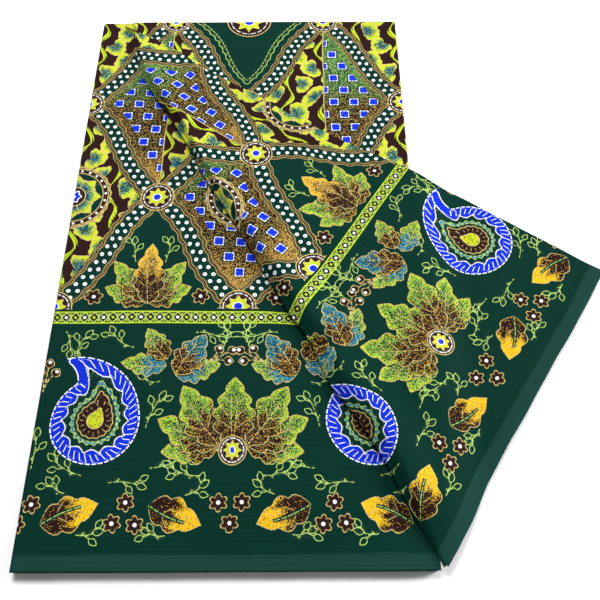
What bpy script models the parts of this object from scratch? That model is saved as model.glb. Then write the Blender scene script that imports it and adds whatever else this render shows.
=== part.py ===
"""A length of printed cotton, doubled along its centre and pleated into a flat pack, lying on a table.

The end panel is turned back over the pack, and its corner is folded over again on the diagonal, so
that it fans out over the pack's right edge and down to the table.

Everything is worked out in the pack's own frame: x runs along the selvedges from the pack's left
fold, y from the selvedges to the centre fold, and z up from the table. The part's origin is below
the middle of the whole outline, so each mesh is moved by ORIGIN at the end.
"""

import math

import bpy
import numpy as np

# Driving dimensions, in metres
HALF_WIDTH = 0.584  # selvedge to centre fold, half of a cloth 46 inches wide
PANEL = 0.328  # width of the pleated pack, fold to fold
END_PANEL = 0.3144  # length of the end panel, from the pack's right fold to the cut end
WALL = 0.0012  # wall that stands for the doubled cloth of one panel
SEAM = 0.0003  # gap between neighbouring pieces
STACK_HEIGHT = 0.0075  # the panels under the top one
STACK_FOLDS = 8  # folds that show down the side of the stack
FOLD_GROOVE = 0.0008  # depth of the groove between two folds
SELVEDGE_GROOVE = 0.0004  # the same along the selvedges, which only lie on each other
LAYER_DRIFT = 0.0009  # how far a layer may lie back from the pack's outline
LEFT_WRAP = 0.0015  # radius at which the top panel turns down over the left edge
DIAGONAL_ROLL = 0.0030  # radius of the soft roll along the diagonal fold
TIGHT_ROLL = 0.0008  # radius of that roll at the two ends of the diagonal
ROLL_SETTLE = 0.035  # distance over which the corner settles from the roll onto the pack
DROP_START = PANEL + 0.002  # where the corner leaves the pack's right edge
DROP_LENGTH = 0.042  # distance over which the corner drops from the pack to the table
SQUARE_CORNER = 0.0125  # up to here the top panel's bottom right corner ends flush with the stack
CORNER_CUT = 0.002  # length over which its right edge steps in to the fold
BACK_START = 0.0155  # where the turned back panel begins, above that corner
ROLL_ENDS = (0.007, 0.640)  # ends of the roll, along the diagonal from its foot
ROLL_SWELLS = (0.120, 0.100)  # lengths over which the roll grows from its tight ends
LAST_STEP = 0.004  # least width of a row's part past the pack's edge
NOSE = 0.006  # where the corner's selvedge comes out of the roll, from the diagonal's foot

# The diagonal fold's wander from a straight line, sideways towards the right
DIAGONAL_WANDER = {
    "along": (0.0, 0.007, 0.035, 0.095, 0.130, 0.170, 0.215, 0.250, 0.350, 0.420, 0.480, 0.570, 0.600, 0.640),
    "aside": (0.003, 0.000, 0.001, 0.005, 0.004, -0.001, 0.003, 0.0, 0.0, -0.002, 0.0, -0.004, 0.0, 0.006),
}
# The corner's selvedge, from the diagonal's foot to the tip, and how far it stands out
SELVEDGE_WANDER = {
    "along": (0.003, 0.016, 0.031, 0.080, 0.110, 0.200, 0.278, END_PANEL),
    "aside": (-0.0015, 0.0002, 0.0, -0.0026, -0.0028, -0.0012, 0.0005, 0.0),
}
# The corner's cut end, from the tip up to the diagonal's head, and how far it stands out
CUT_END_WANDER = {
    "along": (0.0, 0.060, 0.150, 0.208, 0.277, 0.344, 0.400, 0.445, 0.506, 0.560),
    "aside": (0.0, 0.0022, 0.0045, -0.0005, -0.0055, -0.0055, -0.003, -0.0025, 0.003, 0.002),
}

# Levels of the walls' middle surfaces
TOP_LEVEL = STACK_HEIGHT + SEAM + WALL / 2
BACK_LEVEL = TOP_LEVEL + WALL + SEAM
CORNER_LEVEL = BACK_LEVEL + WALL + SEAM
TABLE_LEVEL = WALL / 2

# The fold at the pack's right edge, where the top panel becomes the turned back one
RIGHT_TURN = (BACK_LEVEL - TOP_LEVEL) / 2
RIGHT_TURN_X = PANEL - RIGHT_TURN - WALL / 2

# The diagonal runs from the foot, at the pack's bottom right, to the head on the centre fold
DIAGONAL_LENGTH = math.hypot(END_PANEL, HALF_WIDTH)
FOOT = np.array([PANEL, 0.0])
ALONG = np.array([-END_PANEL, HALF_WIDTH]) / DIAGONAL_LENGTH
ASIDE = np.array([ALONG[1], -ALONG[0]])
# Folding over on the diagonal mirrors the selvedge, which ran towards -x, and the cut end
SELVEDGE_WAY = 2 * ALONG * ALONG.dot([-1.0, 0.0]) - np.array([-1.0, 0.0])
CUT_END_WAY = 2 * ALONG * ALONG.dot([0.0, 1.0]) - np.array([0.0, 1.0])
TIP = FOOT + END_PANEL * SELVEDGE_WAY
ORIGIN = np.array([TIP[0] / 2, HALF_WIDTH / 2, 0.0])

# One layer of the stack, from its lower groove up: share of the layer's height and of the groove's depth
LAYER_PROFILE = {
    "height": (0.0, 0.3, 0.7),
    "groove": (1.0, 0.15, 0.15),
}
CORNER_SHARE = 0.014  # share of a side that the stack's rounded corners take
# The drift of each layer's edges: turns of its wave from layer to layer, side to side and end to end
DRIFT_PHASES = {"layer": 1.7, "side": 2.3, "along": 3.1}

# A centre fold's rounded back edge: distance from the edge and share of the wall's thickness there
FOLD_ROUNDING = {
    "inside": (0.0006, 0.0002, 0.0),
    "thickness": (1.0, 0.75, 0.3),
}

# Mesh densities
SIDE_POINTS = 13
PANEL_ROWS = 12
PANEL_COLUMNS = 6
BACK_COLUMNS = 8
WRAP_POINTS = 6
TURN_POINTS = 7
ROLL_POINTS = 8
HEAD_ROWS = 3
SELVEDGE_ROWS = 10
TABLE_ROWS = 10
PACK_ROWS = 17
PACK_COLUMNS = 9
DROP_COLUMNS = 8
CORNER_COLUMNS = PACK_COLUMNS + DROP_COLUMNS
CROWDING = 1.5  # columns crowd towards the roll by this power
SMOOTH_ANGLE = math.radians(50)  # edges sharper than this stay sharp

GREEN = (0.008, 0.060, 0.038)
BROWN = (0.060, 0.022, 0.018)
LIME = (0.40, 0.55, 0.04)


def ease(share):
    """Smooth step from 0 to 1 with flat ends."""
    share = np.clip(share, 0.0, 1.0)
    return share * share * (3 - 2 * share)


def wander(table, place):
    """Value of a two-column table at a place, with smooth steps between its rows."""
    along, aside = np.array(table["along"]), np.array(table["aside"])
    row = int(np.clip(np.searchsorted(along, place) - 1, 0, len(along) - 2))
    share = ease((place - along[row]) / (along[row + 1] - along[row]))
    return aside[row] + share * (aside[row + 1] - aside[row])


def arc(centre, radius, start, end, count):
    """Points (across, up) on an arc, from one angle to another in degrees."""
    angles = np.radians(np.linspace(start, end, count))
    return [(centre[0] + radius * math.cos(a), centre[1] + radius * math.sin(a)) for a in angles]


def material(name, colour):
    made = bpy.data.materials.new(name)
    made.use_nodes = True
    shader = made.node_tree.nodes["Principled BSDF"]
    shader.inputs["Base Color"].default_value = (*colour, 1.0)
    shader.inputs["Roughness"].default_value = 0.85
    shader.inputs["Metallic"].default_value = 0.0
    return made


def solid(name, points, faces, finish):
    """An object from points in the pack's frame and faces that look outwards."""
    mesh = bpy.data.meshes.new(name)
    mesh.from_pydata([tuple(np.asarray(p) - ORIGIN) for p in points], [], faces)
    mesh.materials.append(finish)
    mesh.shade_smooth()
    mesh.set_sharp_from_angle(angle=SMOOTH_ANGLE)
    made = bpy.data.objects.new(name, mesh)
    bpy.context.scene.collection.objects.link(made)
    return made


def cloth_wall(name, middle, finish, last_rows=()):
    """A closed wall of even thickness about a grid of middle points, rows by columns.

    Rows follow each other along +y and columns along +x on the wall's upper side. The last rows can
    be given a share of the thickness each, for a rounded edge.
    """
    middle = np.array(middle)
    rows, columns = middle.shape[:2]
    from_row_to_row, from_column_to_column = np.gradient(middle, axis=(0, 1))
    normal = np.cross(from_column_to_column, from_row_to_row)
    normal /= np.linalg.norm(normal, axis=2, keepdims=True)
    half = np.full((rows, 1, 1), WALL / 2)
    half[rows - len(last_rows):, 0, 0] *= last_rows
    over = (middle + normal * half).reshape(-1, 3)
    under = (middle - normal * half).reshape(-1, 3)
    points = np.concatenate([over, under])
    below = len(over)
    at = np.arange(rows * columns).reshape(rows, columns)
    faces = []
    for i in range(rows - 1):
        for j in range(columns - 1):
            a, b, c, d = (int(k) for k in (at[i, j], at[i, j + 1], at[i + 1, j + 1], at[i + 1, j]))
            faces += [(a, b, c), (a, c, d)]
            faces += [(below + c, below + b, below + a), (below + d, below + c, below + a)]
    rim = [*at[0, :], *at[1:, -1], *at[-1, -2::-1], *at[-2:0:-1, 0]]
    for k, here in enumerate(rim):
        here, after = int(here), int(rim[(k + 1) % len(rim)])
        faces += [(here, below + here, below + after), (here, below + after, after)]
    return solid(name, points, faces, finish)


def stack_outline(height, groove, layer):
    """One level outline of the stack: each side lies back by the groove and by the layer's drift."""
    top_layer = layer == STACK_FOLDS - 1

    def drift(share, side):
        phase = DRIFT_PHASES["layer"] * layer + DRIFT_PHASES["side"] * side
        wave = math.sin(phase) * math.cos(DRIFT_PHASES["along"] * share + phase)
        return LAYER_DRIFT * (1 + wave) / 2

    shares = np.linspace(0.0, 1.0, SIDE_POINTS)
    fold = groove * FOLD_GROOVE
    left_wrap = LEFT_WRAP + WALL / 2 - SEAM if top_layer else 0.0
    left = [fold + drift(s, 0) + left_wrap for s in shares]
    right = [PANEL - fold - drift(s, 1) for s in shares]
    front = [groove * SELVEDGE_GROOVE + drift(s, 2) for s in shares]
    back = [HALF_WIDTH - fold - drift(s, 3) for s in shares]
    inner = np.clip(shares, CORNER_SHARE, 1 - CORNER_SHARE)
    outline = [(left[0] + (right[0] - left[0]) * s, front[k], height) for k, s in enumerate(inner)]
    outline += [(right[k], front[-1] + (back[-1] - front[-1]) * s, height) for k, s in enumerate(inner)]
    outline += [(right[-1] + (left[-1] - right[-1]) * s, back[-1 - k], height) for k, s in enumerate(inner)]
    outline += [(left[-1 - k], back[0] + (front[0] - back[0]) * s, height) for k, s in enumerate(inner)]
    return outline


def hidden_stack(finish):
    """The hidden panels as one rounded solid, with a groove all round between its layers."""
    layer_height = STACK_HEIGHT / STACK_FOLDS
    outlines = []
    for layer in range(STACK_FOLDS):
        for share, groove in zip(LAYER_PROFILE["height"], LAYER_PROFILE["groove"]):
            outlines.append(stack_outline((layer + share) * layer_height, groove, layer))
    outlines.append(stack_outline(STACK_HEIGHT, 1.0, STACK_FOLDS - 1))
    around = len(outlines[0])
    points = [point for outline in outlines for point in outline]
    faces = []
    for ring in range(len(outlines) - 1):
        for k in range(around):
            a, b = ring * around + k, ring * around + (k + 1) % around
            faces += [(a, b, b + around), (a, b + around, a + around)]
    last = (len(outlines) - 1) * around
    faces.append(tuple(range(around))[::-1])
    faces.append(tuple(range(last, last + around)))
    return solid("hidden_stack", points, faces, finish)


def top_panel(finish):
    """The top panel, turned down over the stack's left edge, up to the fold at the right."""
    wrap_x = LEFT_WRAP + WALL / 2
    wrap = arc((wrap_x, TOP_LEVEL - LEFT_WRAP), LEFT_WRAP, 180, 90, WRAP_POINTS)
    fold_rows = HALF_WIDTH - np.array(FOLD_ROUNDING["inside"])
    places = [0.0, SQUARE_CORNER - CORNER_CUT]
    places += [*np.linspace(SQUARE_CORNER, fold_rows[0], PANEL_ROWS), *fold_rows[1:]]
    rows = []
    for y in places:
        right = PANEL if y < SQUARE_CORNER else RIGHT_TURN_X - SEAM
        flat = [(x, TOP_LEVEL) for x in np.linspace(wrap_x, right, PANEL_COLUMNS)[1:]]
        rows.append([(x, y, z) for x, z in wrap + flat])
    return cloth_wall("top_panel", rows, finish, FOLD_ROUNDING["thickness"])


def roll_radius(along):
    """The diagonal roll's radius, tighter towards its two ends."""
    swell = ease((along - ROLL_ENDS[0]) / ROLL_SWELLS[0]) * ease((ROLL_ENDS[1] - along) / ROLL_SWELLS[1])
    return TIGHT_ROLL + (DIAGONAL_ROLL - TIGHT_ROLL) * swell


def corner_rows():
    """Each row of the corner: its start on the diagonal, its way, its width and its roll's radius."""
    reach = ALONG.dot(TIP - FOOT)
    starts = [*np.linspace(ROLL_ENDS[0], reach, SELVEDGE_ROWS)]
    ends = [edge_point(FOOT, SELVEDGE_WAY, place, SELVEDGE_WANDER)
            for place in np.linspace(NOSE, END_PANEL, SELVEDGE_ROWS)]
    leaves_pack = (DROP_START - TIP[0]) / CUT_END_WAY[0]
    places = [*np.linspace(0.0, leaves_pack, TABLE_ROWS)[1:]]
    places += [*np.linspace(leaves_pack, CUT_END_WANDER["along"][-1], PACK_ROWS)[1:]]
    starts += [*np.interp(places, (0.0, CUT_END_WANDER["along"][-1]), (reach, ROLL_ENDS[1]))]
    ends += [edge_point(TIP, CUT_END_WAY, place, CUT_END_WANDER) for place in places]
    for along, end in zip(starts, ends):
        start = FOOT + ALONG * along + ASIDE * wander(DIAGONAL_WANDER, along)
        width = np.linalg.norm(end - start)
        yield start, (end - start) / width, width, roll_radius(along)


def edge_point(corner, way, place, table):
    """A point on the corner's outer edge, a distance from one of its ends, with the edge's wander."""
    outwards = np.array([way[1], -way[0]])
    return corner + way * place + outwards * wander(table, place)


def turned_back_panel(finish):
    """The end panel's upper right triangle, with the fold that joins it to the top panel."""
    turn = arc((RIGHT_TURN_X, BACK_LEVEL - RIGHT_TURN), RIGHT_TURN, 90, -90, TURN_POINTS)
    seam = [start + way * (radius + WALL / 2 + SEAM) for start, way, _, radius in corner_rows()]
    seam = [point for point in seam if point[1] > BACK_START]
    fold_rows = HALF_WIDTH - np.array(FOLD_ROUNDING["inside"])
    for y in [*np.linspace(seam[-1][1], fold_rows[0], HEAD_ROWS)[1:], *fold_rows[1:]]:
        seam.append(seam[-1] + ALONG * (y - seam[-1][1]) / ALONG[1])
    rows = []
    for left, y in seam:
        flat = [(x, BACK_LEVEL) for x in np.linspace(left, RIGHT_TURN_X, BACK_COLUMNS)[:-1]]
        rows.append([(x, y, z) for x, z in flat + turn])
    return cloth_wall("turned_back_panel", rows, finish, FOLD_ROUNDING["thickness"])


def resting_level(x):
    """Middle surface of the fanned corner: on the pack, then down to the table."""
    drop = ease((x - DROP_START) / DROP_LENGTH)
    return CORNER_LEVEL + (TABLE_LEVEL - CORNER_LEVEL) * drop


def fanned_corner(finish):
    """The corner folded over on the diagonal, from its roll to the selvedge and the cut end."""
    rows = []
    for start, way, width, radius in corner_rows():
        centre = radius + WALL / 2
        lift = 2 * radius - (CORNER_LEVEL - BACK_LEVEL)
        row = []
        for across, z in arc((centre, BACK_LEVEL + radius), radius, 270, 90, ROLL_POINTS):
            x, y = start + way * across
            row.append((x, y, z + min(0.0, resting_level(x) - CORNER_LEVEL)))
        drop = (DROP_START - start[0]) / way[0]
        if drop > width + SEAM:
            split = centre + (width - centre) * PACK_COLUMNS / CORNER_COLUMNS
        else:
            split = min(drop, width - LAST_STEP)
        places = [*(centre + (split - centre) * np.linspace(0.0, 1.0, PACK_COLUMNS + 1)[1:] ** CROWDING)]
        places += [*np.linspace(split, width, DROP_COLUMNS + 1)[1:]]
        for across in places:
            x, y = start + way * across
            settle = 1 - ease((across - centre) / ROLL_SETTLE)
            row.append((x, y, resting_level(x) + lift * settle))
        rows.append(row)
    return cloth_wall("fanned_corner", rows, finish)


def main():
    for old in list(bpy.data.objects):
        bpy.data.objects.remove(old, do_unlink=True)
    hidden_stack(material("cloth_layers", GREEN))
    top_panel(material("cloth_top", LIME))
    turned_back_panel(material("cloth_turned_back", BROWN))
    fanned_corner(material("cloth_corner", GREEN))


main()
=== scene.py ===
"""The looks of a folded length of wax print cotton that lies on a pale floor.

Each panel that shows is a thin shell on its solid's form. It starts as rows of points on the flat
cloth, and a function says where each point lies once the cloth is folded. The print is worked out on
the same flat points, as distances to the edges of its inks, and the material turns them into colour.
"""

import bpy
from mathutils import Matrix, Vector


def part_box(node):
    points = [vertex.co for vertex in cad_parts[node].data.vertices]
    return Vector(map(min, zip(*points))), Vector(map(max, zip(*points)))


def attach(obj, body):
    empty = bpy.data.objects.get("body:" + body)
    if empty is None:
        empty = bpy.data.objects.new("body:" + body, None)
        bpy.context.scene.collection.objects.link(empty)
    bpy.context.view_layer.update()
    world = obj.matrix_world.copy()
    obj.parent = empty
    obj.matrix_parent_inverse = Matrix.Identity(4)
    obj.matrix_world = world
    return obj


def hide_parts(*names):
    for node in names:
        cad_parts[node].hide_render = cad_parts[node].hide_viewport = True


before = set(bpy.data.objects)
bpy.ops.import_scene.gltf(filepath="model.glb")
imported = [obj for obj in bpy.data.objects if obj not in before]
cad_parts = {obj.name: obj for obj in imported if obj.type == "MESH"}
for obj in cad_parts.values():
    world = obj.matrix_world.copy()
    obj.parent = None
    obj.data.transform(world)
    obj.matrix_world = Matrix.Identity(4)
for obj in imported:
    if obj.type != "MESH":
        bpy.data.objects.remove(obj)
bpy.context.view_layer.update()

import copy
import math

import bpy
import numpy as np

# Sizes in metres, from the frame where it has them
TOP_LOW, TOP_HIGH = (np.array(corner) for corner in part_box("top_panel"))
PACK_CORNER = np.array([TOP_LOW[0], TOP_LOW[1], 0.0])  # the pack's left selvedge corner, on the floor
PANEL = TOP_HIGH[0] - TOP_LOW[0]
HALF_WIDTH = TOP_HIGH[1] - TOP_LOW[1]
TOP_Z = TOP_HIGH[2]
BACK_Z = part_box("turned_back_panel")[1][2]
STACK_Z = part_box("hidden_stack")[1][2]
WALL = 0.0012  # a doubled panel, both layers of cloth
SEAM = 0.0003  # room between the corner and the panel under it
CORNER_Z = BACK_Z + WALL + SEAM
STACK_INSET = 0.0002  # how far the stack lies inside the panel's edges
TABLE_Z = WALL  # top of the corner where it lies on the table
END_PANEL = 0.3144  # from the pack's right fold to the cut end

# Radii and reaches of the folds, on the cloth's outer face
LEFT_RADIUS = 0.0027
TURN_RADIUS = (BACK_Z - TOP_Z) / 2 + WALL / 2
CENTRE_FOLD_RADIUS = 0.0006
ROLL_RADII = (0.0014, 0.0058)  # the diagonal roll, at its ends and along its middle
ROLL_ENDS = (0.007, 0.640)  # where, along the diagonal, it starts and stops
ROLL_SWELLS = (0.075, 0.100)  # over how much it grows from each end
ROLL_SETTLE = 0.035  # how far beside the roll the corner comes down to its own level
ROLL_SINK = 0.45  # how much of the panels' sinking it follows
ROLL_SLOPE = 1.2  # how many of its radii the roll's upper side falls
ROLL_REACH = {  # how far the roll's upper side leans out over the corner, along the diagonal
    "along": (0.0, 0.040, 0.120, 0.200, 0.270, 0.330, 0.420, 0.500, 0.590, 0.660),
    "aside": (0.0018, 0.0060, 0.0120, 0.0140, 0.0110, 0.0060, 0.0040, 0.0060, 0.0045, 0.0015),
}
TROUGH = {  # how deep the panels sink along the diagonal
    "along": (0.0, 0.050, 0.120, 0.220, 0.290, 0.350, 0.420, 0.500, 0.590, 0.660),
    "aside": (0.0006, 0.0044, 0.0058, 0.0056, 0.0046, 0.0032, 0.0036, 0.0042, 0.0024, 0.0002),
}
TROUGH_WIDTH = 0.0150  # how far out of the diagonal it shows
TROUGH_RISE = 0.030  # over how much of the hidden side it comes back up
FRONT_TAPER = 0.0038  # the pack is narrower at its selvedges, where its right fold leans in
TAPER_REACH = (0.120, 0.150)  # over how much of the panel's width and depth it leans in
SELVEDGE_CURL = {  # how far the fanned selvedge lifts off the table
    "along": (0.0, 0.050, 0.120, 0.180, 0.240, END_PANEL),
    "aside": (0.0004, 0.0022, 0.0036, 0.0028, 0.0034, 0.0010),
}
CURL_REACH = 0.020  # how far in from the selvedge it lifts
DROP_START = PANEL + 0.002  # where the corner leaves the pack, and how long it takes to the table
DROP_LENGTH = 0.042
NOSE = (0.0027, 0.0022)  # the corner's nose: its place on the selvedge, and at the roll's end
BACK_START = 0.0155  # the turned back panel begins above the top panel's square corner
BACK_SHOWS = 0.300  # behind this much of its width it isn't hidden by the corner
APEX = 0.648  # where the corner's tip ends, along the diagonal
EDGE_FADE = 0.070  # how far an edge's wander reaches into the cloth
CALM_REACH = 0.030  # how far from a fold the cloth's unevenness and its edges' wander begin
UNEVEN = {"top": 0.00028, "back": 0.0002, "corner": 0.0003}  # how much each panel waves
PUCKERED = {"top": 0.6, "corner": 0.5}  # what share of the puckers' height each panel has

# How far the corner's three edges lie off straight lines, along their lengths
DIAGONAL_WANDER = {
    "along": (
        0.0, 0.007, 0.035, 0.095, 0.130, 0.170, 0.215,
        0.250, 0.350, 0.420, 0.480, 0.570, 0.600, 0.640,
    ),
    "aside": (
        -0.0005, 0.0, 0.001, 0.005, 0.004, -0.001, 0.003,
        0.0, 0.0, -0.002, 0.0, -0.004, 0.001, 0.0125,
    ),
}
SELVEDGE_WANDER = {
    "along": (0.003, 0.016, 0.031, 0.080, 0.110, 0.200, 0.278, END_PANEL),
    "aside": (-0.0015, 0.0002, 0.0, -0.0026, -0.0028, -0.0012, 0.0005, 0.0),
}
CUT_END_WANDER = {
    "along": (0.0, 0.060, 0.150, 0.208, 0.277, 0.344, 0.400, 0.445, 0.506, 0.560),
    "aside": (0.0, 0.0012, 0.0030, -0.0020, -0.0075, -0.0070, -0.0045, -0.0040, 0.0017, 0.001),
}

# The diagonal fold, in the pack's plan, and the two edges of the corner folded over it
FOOT = np.array([PANEL, 0.0])
DIAGONAL = math.hypot(END_PANEL, HALF_WIDTH)
ALONG = np.array([-END_PANEL, HALF_WIDTH]) / DIAGONAL
ASIDE = np.array([ALONG[1], -ALONG[0]])
SELVEDGE_WAY = 2 * ALONG * ALONG.dot([-1.0, 0.0]) - np.array([-1.0, 0.0])
CUT_END_WAY = 2 * ALONG * ALONG.dot([0.0, 1.0]) - np.array([0.0, 1.0])

# Grid steps on the cloth
FINE = 0.0011  # where it shows; a longer step would break the print's fine lines
COARSE = 0.006
SPARSE = 0.040  # under the corner, where the trough has come back up
FOLD_STEP = 0.0003  # round a tight fold
ROW_GAP = 0.0005  # rows stop this far short of what they would touch
UNDER_ROLL = 0.006  # how far under the roll the fine grid goes on
LEAST_SHOWN = 0.020  # how much of each row of the top panel is fine at the least

# Camera, floor and light
CAMERA = {"lens": 43.4, "pitch": 61.92, "yaw": -0.28, "place": (0.2178, -0.0758, 0.5814)}
FLOOR_SIZE = 8.0
FLOOR_TONE = 0.80
FLOOR_DROP = 0.0003  # how far the floor lies below the cloth
FLOOR_GAP = 0.00002  # the lowest height of the corner's cloth
WORLD_STRENGTH = 0.33
LIGHTS = {  # place, size in metres and power in watts; both look at the middle
    "key": ((-0.50, 1.10, 2.00), 1.1, 71.0),
    "side": ((2.15, 0.65, 1.05), 1.1, 98.0),
}

# Print colours, as seen on the cloth under light that is LIGHT_LEVEL times full
LIGHT_LEVEL = 1.5
COLOURS = {
    "ground": (2, 47, 38),
    "selvedge": (22, 62, 55),
    "brown": (42, 22, 20),
    "lime": (192, 216, 40),
    "fern": (138, 194, 92),
    "yellow": (240, 190, 30),
    "sand": (212, 168, 84),
    "blue": (14, 46, 204),
    "teal": (24, 112, 156),
    "white": (250, 252, 255),
    "outline": (204, 180, 112),
    "sprig": (174, 204, 108),
}


def ease(share):
    """Smooth step from 0 to 1 with flat ends."""
    share = np.clip(share, 0.0, 1.0)
    return share * share * (3 - 2 * share)


def wander(table, place):
    """Values of a two-column table at places, with smooth steps between its rows."""
    along, aside = np.array(table["along"]), np.array(table["aside"])
    row = np.clip(np.searchsorted(along, place) - 1, 0, len(along) - 2)
    share = ease((place - along[row]) / (along[row + 1] - along[row]))
    return aside[row] + share * (aside[row + 1] - aside[row])


def outwards(way):
    """The direction at a right angle to an edge's, on its right."""
    return np.array([way[1], -way[0]])


# The folded cloth


def turned(distance, radius, most):
    """Cloth that turns down over an edge: how far in from the edge, and how far down, a point lies.

    distance runs along the cloth. Past the edge it is negative, and most is the full turn's angle.
    """
    angle = np.clip((radius - distance) / radius, 0.0, most)
    inward = np.where(distance < radius, radius - radius * np.sin(angle), distance)
    return inward, radius * (1 - np.cos(angle))


def turned_length(radius, most):
    """Distance, along the cloth, at which a full turn ends."""
    return radius - most * radius


def diagonal_place(plan):
    """How far points of the pack's plan lie along and aside of the diagonal fold, as it wanders."""
    along = (plan - FOOT) @ ALONG
    return along, (plan - FOOT) @ ASIDE - wander(DIAGONAL_WANDER, along)


# Puckers: where they start on the diagonal, how they lean, and their reach, height and width
PUCKERS = {
    "along": (0.335, 0.352, 0.372, 0.398, 0.150, 0.205, 0.470, 0.520, 0.562),
    "slant": (0.9, 0.5, -0.4, -0.7, 0.4, -0.5, 0.6, -0.5, 0.3),
    "reach": (0.014, 0.018, 0.015, 0.013, 0.022, 0.020, 0.018, 0.020, 0.014),
    "tall": (0.0007, -0.0009, 0.0008, -0.0006, 0.0006, -0.0006, 0.0005, -0.0006, 0.0005),
    "wide": (0.005, 0.006, 0.005, 0.005, 0.010, 0.011, 0.009, 0.010, 0.007),
}


def waves(x, y):
    """The slight unevenness of cloth that lies flat, from -1 to 1; x and y in metres."""
    return (
        np.sin(31 * x + 12 * y + 0.4) * np.sin(9 * x - 23 * y + 1.1)
        + 0.6 * np.sin(57 * x - 34 * y + 2.0) * np.sin(21 * x + 47 * y)
    ) / 1.6


def puckers(along, aside):
    """Short ridges that run out of the diagonal fold, each with its own place, reach and height."""
    height = np.zeros(np.shape(along))
    for row in range(len(PUCKERS["along"])):
        start, slant, reach, tall, wide = (PUCKERS[key][row] for key in PUCKERS)
        off = along - start - slant * aside
        height = height + tall * np.exp(-((off / wide) ** 2)) * np.exp(-((aside / reach) ** 2))
    return height


def trough(along, aside):
    """How deep the panels sink near the diagonal: steeply beside it, and gently under the corner."""
    shown = np.exp(-((np.maximum(-aside, 0.0) / TROUGH_WIDTH) ** 1.35))
    return wander(TROUGH, along) * shown * (1 - ease(aside / TROUGH_RISE))


def top_relief(x, y):
    """Height of the top panel above flat: it sinks along the diagonal, and puckers beside it."""
    along, aside = diagonal_place(np.stack([x, y], axis=-1))
    uneven = UNEVEN["top"] * waves(x, y) * ease((HALF_WIDTH - y) / CALM_REACH)
    return uneven - trough(along, aside) + PUCKERED["top"] * puckers(along, aside)


def roll_radius(along):
    """The roll's radius, which swells from both ends of the diagonal to its middle."""
    swell = ease((along - ROLL_ENDS[0]) / ROLL_SWELLS[0]) * ease((ROLL_ENDS[1] - along) / ROLL_SWELLS[1])
    return ROLL_RADII[0] + (ROLL_RADII[1] - ROLL_RADII[0]) * swell


def front_taper(x, y):
    """How far the pack's right side leans in, near its front."""
    return FRONT_TAPER * ease(1 - (PANEL - x) / TAPER_REACH[0]) * (1 - ease(y / TAPER_REACH[1]))


def top_place(u, v):
    """Where the top panel's cloth lies: u along the selvedge from the left fold, v from the selvedge."""
    x, left_fall = turned(u, LEFT_RADIUS, math.pi / 2)
    back, back_fall = turned(HALF_WIDTH - v, CENTRE_FOLD_RADIUS, math.pi)
    y = HALF_WIDTH - back
    x = x - front_taper(x, y)
    return np.stack([x, y, TOP_Z + top_relief(x, y) - left_fall - back_fall], axis=-1)


def back_place(u, v):
    """Where the turned back panel lies: it runs back from the fold at the pack's right edge."""
    inward, right_fall = turned(u - PANEL, TURN_RADIUS, math.pi)
    back, back_fall = turned(HALF_WIDTH - v, CENTRE_FOLD_RADIUS, math.pi)
    x, y = PANEL - inward, HALF_WIDTH - back
    along, aside = diagonal_place(np.stack([x, y], axis=-1))
    relief = UNEVEN["back"] * waves(x, y) - trough(along, np.maximum(aside, 0.0))
    return np.stack([x, y, BACK_Z + relief - right_fall - back_fall], axis=-1)


def corner_level(x):
    """Top of the fanned corner: on the pack, then down to the floor."""
    return CORNER_Z + (TABLE_Z - CORNER_Z) * ease((x - DROP_START) / DROP_LENGTH)


def rolled(across, radius, reach):
    """The diagonal roll: a slope down to the fold, and a small turn below. Gives inward and fall."""
    tall, under = ROLL_SLOPE * radius, (1 - ROLL_SLOPE / 2) * radius
    slope = np.hypot(reach, tall)
    share = np.clip((reach - across) / slope, 0.0, 1.0)
    angle = np.clip((reach - slope - across) / under, 0.0, math.pi)
    inward = np.where(across < reach, reach * (1 - share) - under * np.sin(angle), across)
    return inward, tall * share**1.7 + under * (1 - np.cos(angle))


def rolled_length(radius, reach):
    """Distance, along the cloth, at which the whole roll ends."""
    return reach - np.hypot(reach, ROLL_SLOPE * radius) - math.pi * (1 - ROLL_SLOPE / 2) * radius


def corner_plan(u, v, along, across, inward):
    """The corner's plan: straight from the diagonal, and then swayed by the wander of its edges."""
    wide = np.maximum((DIAGONAL - along) * END_PANEL / HALF_WIDTH, 0.002)
    sway = np.minimum(wander(DIAGONAL_WANDER, along), 0.8 * wide)
    sway = sway * (1 - ease(across / np.minimum(EDGE_FADE, wide)))
    out = wander(SELVEDGE_WANDER, u - PANEL) * (1 - ease(v / EDGE_FADE))
    end = wander(CUT_END_WANDER, v) * (1 - ease((PANEL + END_PANEL - u) / EDGE_FADE))
    clear = ease(across / CALM_REACH)
    return (
        FOOT
        + along[:, None] * ALONG
        + (inward + sway)[:, None] * ASIDE
        + (out * clear)[:, None] * outwards(SELVEDGE_WAY)
        + (end * clear)[:, None] * outwards(CUT_END_WAY)
    )


def corner_place(u, v):
    """Where the end panel's corner lies, folded over on the diagonal with a soft roll."""
    unfolded = np.stack([2 * PANEL - u, v], axis=-1) - FOOT
    along, across = unfolded @ ALONG, -(unfolded @ ASIDE)
    radius, reach = roll_radius(along), wander(ROLL_REACH, along)
    inward, fall = rolled(across, radius, reach)
    x, y = corner_plan(u, v, along, across, inward).T
    lift = BACK_Z - WALL + 2 * radius - CORNER_Z - ROLL_SINK * wander(TROUGH, along)
    settle = 1 - ease((inward - reach) / ROLL_SETTLE)
    dropped = ease((x - DROP_START) / DROP_LENGTH)
    curl = wander(SELVEDGE_CURL, u - PANEL) * (1 - ease(v / CURL_REACH)) * dropped
    level = ease(1 - fall / 0.001)  # puckers stop where the roll's slope begins
    uneven = UNEVEN["corner"] * waves(x, y) * ease(across / 0.05)
    uneven = uneven + PUCKERED["corner"] * puckers(along, inward) * level
    z = corner_level(x) + lift * settle - fall + uneven + curl
    return np.stack([x, y, z], axis=-1)


# The print, in millimetres on the flat cloth

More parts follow.
